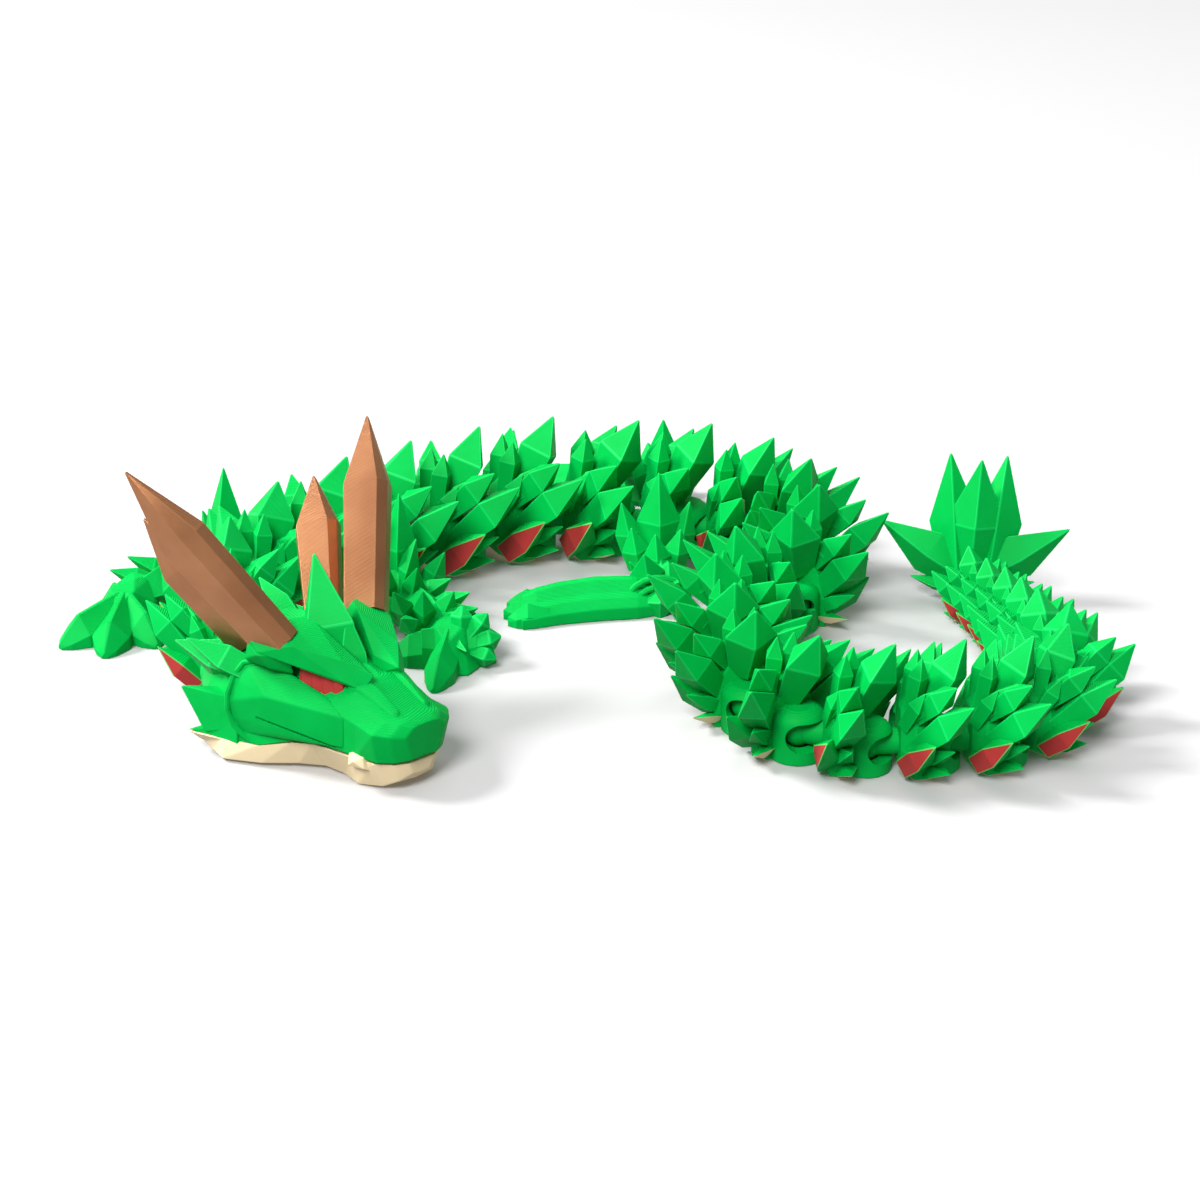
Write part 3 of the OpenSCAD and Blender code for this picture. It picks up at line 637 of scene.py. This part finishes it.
j1 = js(1)
hb, hm = housing(j1)
hb.transform(Matrix.Translation(W[1]) @ Matrix.Rotation(math.radians(140), 4, "Z"))
solids = head_solids() + [part(hb)]
cutters = moved(socket(j1), Matrix.Translation(W[1]) @ Matrix.Rotation(math.radians(140), 4, "Z")) + [under_floor()]
for s in (1, -1):
    # mouth line along the cheek
    slit = [(-39.3, 27, 13.2), (-39.3, 27, 14.6), (-65.2, 18.6, 8.9), (-65.2, 18.6, 10.1), (-40.1, 21.7, 13.8), (-62.7, 13.1, 9.6)]
    cutters += moved([part(hull(side_of(slit, s), 0))], HEAD)
mounted(join("head_print", solids, cutters), "head", "green_plastic", "head")
mounted(join("jaw_print", jaw_solids(), [under_floor()]), "head", "cream_plastic", "jaw_plate")
for s, side in ((1, "right"), (-1, "left")):
    lr = Vector((-40.5, s * 18.7, 38.2))
    sr = Vector((-26, s * 15.5, 33))
    mounted(join("horn_long_%s_print" % side, moved([horn(lr, horn_dir(s), 64.5, 8.4, 7.6, 0.62, 0.9, 3, s)], HEAD)), "head", "bronze_brown_plastic", "horn_long_" + side)
    mounted(join("horn_short_%s_print" % side, moved([horn(sr, short_dir(s), 46.5, 8.0, 7.0, 0.62, 0.85, 2, s)], HEAD)), "head", "bronze_brown_plastic", "horn_short_" + side)
    mounted(join("eye_%s_print" % side, moved(eye_solid(s), HEAD)), "head", "red_plastic", "eye_" + side)

# ------------------------------------------------------------------ legs: x runs out from the body, y forward
FRONT_ANGLE, HIND_ANGLE = (167, 0), (86, -87)
UPPER = [((8.5, 0, 8.5), (34, 1, 11), 7.6, 7.8, 0.5, 0.75),
         ((20, -4, 9), (21, -8, 42), 7.2, 6.4, 0.42, 0.78),
         ((16, 5, 8), (18, 12, 24.4), 4.2, 4.0, 0.45, 0.8),
         ((25, 6, 8), (28, 13, 23.4), 4.6, 4.2, 0.45, 0.8),
         ((29, -3, 8), (36, -6, 21.4), 4.6, 4.2, 0.45, 0.8),
         ((21, 0, 9), (27, -1, 28.4), 5.0, 4.4, 0.42, 0.8),
         ((14, -5, 8), (13, -13, 22.4), 4.0, 3.7, 0.45, 0.8),
         ((28, 3, 8), (39, 8, 17.4), 4.5, 4.0, 0.42, 0.8),
         ((33, 14, 9), (46, 22, 18.2), 4.3, 3.7, 0.45, 0.8),
         ((36, 22, 9), (49, 30, 16.2), 4.3, 3.7, 0.45, 0.8)]
WRIST = Vector((39.5, 38, 9.5))
TOES = (((59, 26), (97, 26), (138, 22)), ((-6, 14), (100, 22), (184, 20)))
THIGH = [((8.5, 0, 8.5), (34, -1, 10), 8.2, 8.2, 0.5, 0.75),
         ((15, -1, 8), (13, -1, 40), 7.8, 6.8, 0.44, 0.82),
         ((14, 7, 8), (13, 12, 29.4), 4.9, 4.3, 0.45, 0.8),
         ((14, -7, 8), (13, -12, 29.4), 4.9, 4.3, 0.45, 0.8),
         ((21, 6, 7), (22, 9, 23.4), 4.9, 4.3, 0.45, 0.8),
         ((21, -6, 7), (22, -8, 22.4), 4.9, 4.3, 0.45, 0.8),
         ((24, 0, 6), (26, 1, 22.4), 4.9, 4.3, 0.45, 0.8),
         ((26, -3, 7), (38, -3, 7), 9.8, 6.8, 0.5, 0.8),
         ((32, 2, 5), (38, 11, 17.2), 4.8, 4.4, 0.4, 0.85),
         ((36, -2, 5), (45, -6, 12.2), 5.2, 4.4, 0.4, 0.85)]


def at_leg(i, s, ang):
    return (at(i) @ Matrix.Translation((LEG_X, s * LEG_Y, 0)) @ Matrix.Rotation(math.radians(ang - CHAIN[i][2]), 4, "Z")
            @ Matrix.Diagonal((1, s, 1, 1)))


def limb_spike(q, bev=0.36):
    a, b = q[0], q[1]
    flat = math.hypot(b[0] - a[0], b[1] - a[1]) > 0.8 * abs(b[2] - a[2])
    return part(spike(a, b, q[2], q[3], q[4], q[5], (a[1] - b[1], b[0] - a[0], 0) if flat else (0, 1, 0), bev=bev))


def leg_ball():
    c = Vector((0, 0, JZ * LEG_J))
    return [part(ball(CAVITY * LEG_J - GAP, c, 24)),
            part(rod(LOOK_ARM * LEG_J, LOOK_ARM * LEG_J, 11, Matrix.Translation(c) @ Matrix.Rotation(math.pi / 2, 4, "Y"), 24))]


def gable(stations, m, bev=0.5):
    """Blunt toe or finger with a roof-like top: x, half width, bottom, eaves, ridge."""
    return part(loft([[(x, w, lo), (x, w, mid), (x, w * 0.1, top), (x, -w * 0.1, top), (x, -w, mid), (x, -w, lo)] for x, w, lo, mid, top in stations], bev), m)


def arc_beads(c, radii, z, tilt, r=0.8, a0=15, a1=165, turn=0):
    """Concentric rounded arcs, one within the other, as on a knee."""
    out = []
    m = Matrix.Translation(c) @ Matrix.Rotation(math.radians(turn), 4, "Z") @ Matrix.Rotation(math.radians(tilt), 4, "X")
    for k, q in enumerate(radii):
        pts = [(q * math.cos(math.radians(a0 + (a1 - a0) / 9 * n)), 0.01, q * math.sin(math.radians(a0 + (a1 - a0) / 9 * n)) + z) for n in range(10)]
        bm = cord(pts, r)
        bm.transform(Matrix.Translation((0, 1.1 * k, 0)))
        out.append(part(bm, m))
    return out


def front_leg(s, side):
    out = leg_ball() + [limb_spike(q) for q in UPPER]
    # forearm: a smooth ridged bar from the elbow to the wrist
    out.append(limb_spike(((22, -2, 8.4), (46, 50, 9), 8.6, 7.8, 0.45, 0.85)))
    out.append(part(hull([(33, 22, 0.2), (46, 24, 0.2), (31, 38, 0.2), (50, 40, 0.2), (36, 47, 0.2), (46, 48, 0.2), (35, 26, 13.5), (42, 26, 14.5), (35.5, 40, 13.4), (44, 40, 13.8),
                          (39, 46, 10.5), (31, 34, 8), (49, 34, 8), (38, 33, 15.2)], 0.6)))
    for ang, r in TOES[0 if s > 0 else 1]:
        q = 1 if s > 0 else 0.78
        m = Matrix.Translation(WRIST) @ Matrix.Rotation(math.radians(ang), 4, "Z")
        out.append(gable([(-9, 4.6 * q, -8, -2, 3.0), (3, 6.2 * q, -9.45, -3.5, 3.8), (r - 7, 6.2 * q, -9.45, -5.2, 0.4), (r - 1.5, 3.4 * q, -9.45, -7.6, -4.6), (r + 0.8, 1.0, -9.45, -8.9, -7.6)], m, 0.35))
    if s < 0:
        for tip, w in (((43.5, 35, 19.5), 4.4), ((52, 35.5, 17), 4.2), ((56.5, 38.5, 10), 4.4), ((55, 43, 3.5), 4.0)):
            out.append(part(spike((43, 38, 6), tip, w, w * 0.9, 0.74, 0.75, n=5, bev=0.5)))
        for x, y, tip in ((24, 20, (14, 24, 19)), (27, 24, (21, 30, 22)), (31, 27, (31, 33, 23.5)), (34, 24, (41, 29, 22)), (23, 16, (9, 17, 16)), (29, 30, (24, 37, 15.5)), (36, 30, (46, 33, 17))):
            out.append(part(spike((x, y, 7), tip, 4.4, 3.8, 0.55, 0.85, bev=0.35)))
        out += arc_beads((42, 30, 6), (4.2, 6.4, 8.6), 0, 0, r=0.9, turn=150)
    m = at_leg(SHOULDER, s, FRONT_ANGLE[0 if s > 0 else 1])
    solids = []
    for o in out:
        o.data.transform(m)
        if s < 0:
            o.data.flip_normals()
        solids.append(o)
    name = "leg_front_" + side
    mounted(join(name + "_print", solids, [under_floor()]), name, "green_plastic", name)


def hind_leg(s, side):
    out = leg_ball() + [limb_spike(q) for q in THIGH]
    # flat foot, heel to toes, with a soft back ridge
    foot = [(-7, 4.6, 34, 4.2, 1.4), (-2, 8.4, 36, 8.6, 3.4), (8, 10.4, 37.4, 11.0, 4.2), (22, 10.2, 39, 11.6, 4.2), (34, 10.4, 41, 10.8, 3.8), (42, 11.0, 43, 9.6, 3.6), (47, 10.4, 44.6, 8.0, 3.4)]
    rings = []
    for y, w, x, h, e in foot:
        half = [(w, 0.1), (w, e), (w * 0.74, h * 0.62), (w * 0.5, h * 0.72), (w * 0.16, h), (0, h * 1.02)]
        rings.append([(x - q[0], y, q[1]) for q in half] + [(x + q[0], y, q[1]) for q in reversed(half[:-1])])
    out.append(part(loft(rings, 0.45, G, 9)))
    # three blunt toes
    for x, r in ((38.4, 6.4), (44.6, 7.6), (50.6, 6.2)):
        m = Matrix.Translation((x, 45, 0)) @ Matrix.Rotation(math.radians(90), 4, "Z")
        out.append(gable([(-7, 2.0, 0.1, 3.0, 6.0), (0, 3.7, 0.1, 4.2, 7.8), (r - 2.4, 3.0, 0.1, 3.0, 5.4), (r + 0.4, 0.7, 0.1, 1.4, 3.0)], m, 0.4))
    out += arc_beads((44, 1, 1), (5.4, 8.4, 11.4), 0, 0, r=1.2, turn=90)
    out.append(limb_spike(((38, 0, 2), (49, 1, 6), 6.5, 6.2, 0.6, 0.9)))
    out.append(limb_spike(((34, 3, 4), (41, 6, 21), 6.2, 4.6, 0.5, 0.85)))
    m = at_leg(HIP, s, HIND_ANGLE[0 if s > 0 else 1])
    solids = []
    for o in out:
        o.data.transform(m)
        if s < 0:
            o.data.flip_normals()
        solids.append(o)
    name = "leg_hind_" + side
    mounted(join(name + "_print", solids, [under_floor()]), name, "green_plastic", name)


front_leg(1, "right")
front_leg(-1, "left")
hind_leg(1, "right")
hind_leg(-1, "left")

# ------------------------------------------------------------------ tail fin
FIN = [((14, 1, 8), (18.5, -1, 50.5), 10.4, 6.6, 0.45, 0.55, (0, 1, 0)),
       ((15, 5, 8), (26, 9.6, 50), 8.6, 6.6, 0.46, 0.65, (0, 1, 0)),
       ((15, 3, 9), (18, 32.4, 27), 8.4, 4.6, 0.42, 0.75, (0, 0, 1)),
       ((14, 3, 4), (18, 22, 7), 4.6, 2.8, 0.5, 0.8, (1, 0, 0))]
jf = js(29)
out = ball_arm(jf, 8)
out.append(part(loft([[(x, y, z) for y, z in both(((w, lo), (w * 1.15, hi * 0.45), (w * 0.5, hi)))] for x, w, lo, hi in ((5.9, 3, 1.5, 8), (9, 5.5, 0.05, 12), (15, 7, 0.05, 18), (21, 4, 0.05, 12))], 0.4)))
for q in FIN:
    for s in ((1,) if q[0][1] == 1 else (1, -1)):
        out.append(part(spike((q[0][0], s * q[0][1], q[0][2]), (q[1][0], s * q[1][1], q[1][2]), q[2], q[3], q[4], q[5], q[6], bev=0.42)))
mounted(join("tail_fin_print", moved(out, at(29)), [under_floor()]), "tail_fin", "green_plastic", "tail_fin")

# ------------------------------------------------------------------ what is still shown as the CAD has it
for n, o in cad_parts.items():
    if o.hide_render:
        continue
    o.data.materials.clear()
    o.data.materials.append(HORN if n.startswith("horn") else RED if n.startswith("eye") else CREAM if n == "jaw_plate" else GREEN)

# ------------------------------------------------------------------ floor, light, camera
floor_mesh = bpy.data.meshes.new("floor")
bm = bmesh.new()
bmesh.ops.create_grid(bm, x_segments=2, y_segments=2, size=4)
bm.to_mesh(floor_mesh)
bm.free()
floor = bpy.data.objects.new("floor", floor_mesh)
floor.location = (0, 1.0, -0.0001)
bpy.context.scene.collection.objects.link(floor)
fmat = bpy.data.materials.new("floor_white")
nt, N, L = nodes_of(fmat)
fo = N.new("ShaderNodeOutputMaterial")
fb = N.new("ShaderNodeBsdfPrincipled")
fb.inputs["Base Color"].default_value = (0.47, 0.467, 0.47, 1)
fb.inputs["Roughness"].default_value = 0.85
fb.inputs["Specular IOR Level"].default_value = 0.1
L.new(fb.outputs[0], fo.inputs[0])
floor_mesh.materials.append(fmat)
floor.visible_diffuse = False

world = bpy.data.worlds.new("studio")
bpy.context.scene.world = world
world.use_nodes = True
world.node_tree.nodes["Background"].inputs[0].default_value = (1.0, 1.0, 1.0, 1)
world.node_tree.nodes["Background"].inputs[1].default_value = 0.42


def area(name, loc, target, size, power, color=(1, 1, 1)):
    l = bpy.data.lights.new(name, "AREA")
    l.shape = "DISK"
    l.size = size
    l.energy = power
    l.color = color
    o = bpy.data.objects.new(name, l)
    o.location = loc
    o.rotation_euler = (Vector(target) - Vector(loc)).to_track_quat("-Z", "Y").to_euler()
    bpy.context.scene.collection.objects.link(o)
    return o


area("key", (-2.6, 0.45, 2.45), (0.03, 0, 0), 1.1, 195)
area("front", (-1.3, -3.2, 3.6), (0.03, 0, 0), 2.2, 292)
area("top", (0.6, 1.6, 5.0), (0.05, 0.2, 0), 4.0, 92)

cam_data = bpy.data.cameras.new("camera")
cam_data.lens = 74.4
cam_data.sensor_width = 36
cam_data.clip_start = 0.01
cam_data.clip_end = 50
cam = bpy.data.objects.new("camera", cam_data)
cam.location = (0.0548, -0.0327 - 0.7748, 0.3297)
cam.rotation_euler = (math.radians(90 - 23.05), 0, 0)
bpy.context.scene.collection.objects.link(cam)
bpy.context.scene.camera = cam
bpy.context.scene.view_settings.view_transform = "Standard"
bpy.context.scene.view_settings.look = "None"

bpy.data.collections.remove(scratch)
